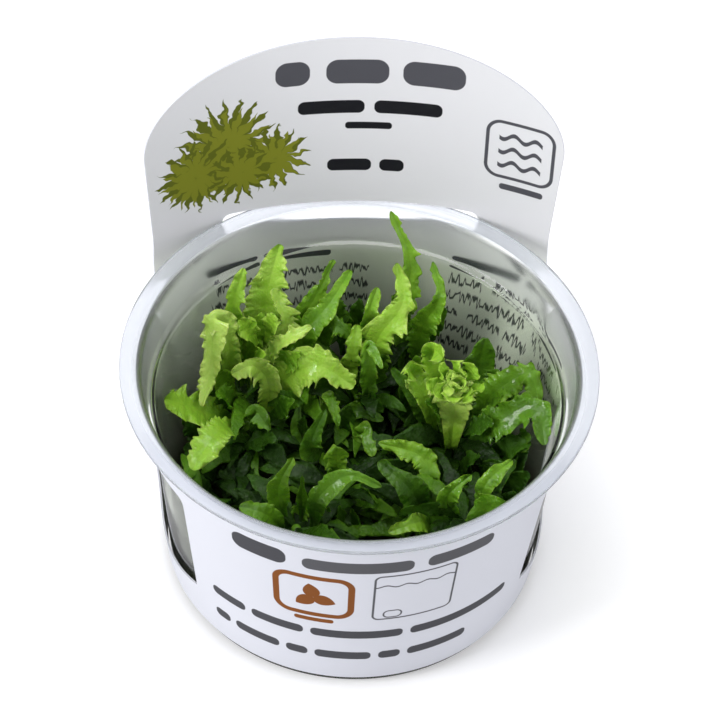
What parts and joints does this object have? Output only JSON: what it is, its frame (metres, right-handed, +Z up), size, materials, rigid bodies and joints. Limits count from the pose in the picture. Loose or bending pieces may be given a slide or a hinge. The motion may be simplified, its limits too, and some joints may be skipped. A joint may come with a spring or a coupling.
{
  "type": "tissue culture pogostemon helferi in its cup",
  "caption": "Young aquarium plants with wavy bright green leaves on clear nutrient jelly, in a round clear cup wrapped by a plain card sleeve with a tall arched back panel.",
  "frame": {"origin": "middle of the cup's underside, on the surface that it stands on", "axes": "+Z up along the cup's axis; +Y towards the tall panel at the back; +X to the right seen from the front"},
  "size_m": [0.101, 0.1028, 0.1023],
  "materials": {
    "clear_plastic": "clear moulded plastic, glossy, slightly grey-green in its thick edges",
    "white_card": "smooth coated white card with plain grey, brown and olive printed shapes",
    "nutrient_gel": "clear set jelly, wet and glossy",
    "leaf": "living leaf, lime green at its ruffled margins to deep green below, wet sheen",
    "stem": "soft green living stem"
  },
  "bodies": {
    "root": {"cup": "clear_plastic", "label_sleeve": "white_card", "leaf_arch": "leaf", "leaf_arch_glossy": "leaf", "leaf_arch_right": "leaf", "leaf_arch_right_rear": "leaf", "leaf_broad_right": "leaf", "leaf_curl": "leaf", "leaf_curl_left": "leaf", "leaf_curl_rear": "leaf", "leaf_dark_broad": "leaf", "leaf_dark_right": "leaf", "leaf_dark_strap": "leaf", "leaf_dark_tip": "leaf", "leaf_dark_upright": "leaf", "leaf_drooping": "leaf", "leaf_far_leaf": "leaf", "leaf_finger": "leaf", "leaf_flat_right": "leaf", "leaf_frill_front": "leaf", "leaf_front_frill": "leaf", "leaf_front_leaf": "leaf", "leaf_glitter": "leaf", "leaf_glossy_dark": "leaf", "leaf_hook_small": "leaf", "leaf_inner_arch": "leaf", "leaf_left_curl": "leaf", "leaf_left_down": "leaf", "leaf_left_horn": "leaf", "leaf_lime_centre": "leaf", "leaf_lime_front": "leaf", "leaf_lime_piece": "leaf", "leaf_lime_small": "leaf", "leaf_narrow": "leaf", "leaf_pale_lying": "leaf", "leaf_rear_fork": "leaf", "leaf_rear_upright": "leaf", "leaf_right_edge": "leaf", "leaf_right_low": "leaf", "leaf_shade_left": "leaf", "leaf_spoon": "leaf", "leaf_strap": "leaf", "leaf_tall_ruffled": "leaf", "leaf_tallest": "leaf", "leaf_tip_down": "leaf", "leaf_upright": "leaf", "leaf_y_leaf": "leaf", "nutrient_gel": "nutrient_gel", "stem_centre": "stem", "stem_far_left": "stem", "stem_far_right": "stem", "stem_front": "stem", "stem_front_left": "stem", "stem_front_right": "stem", "stem_left": "stem", "stem_left_rear": "stem", "stem_middle": "stem", "stem_rear": "stem", "stem_right": "stem"}
  },
  "joints": []
}
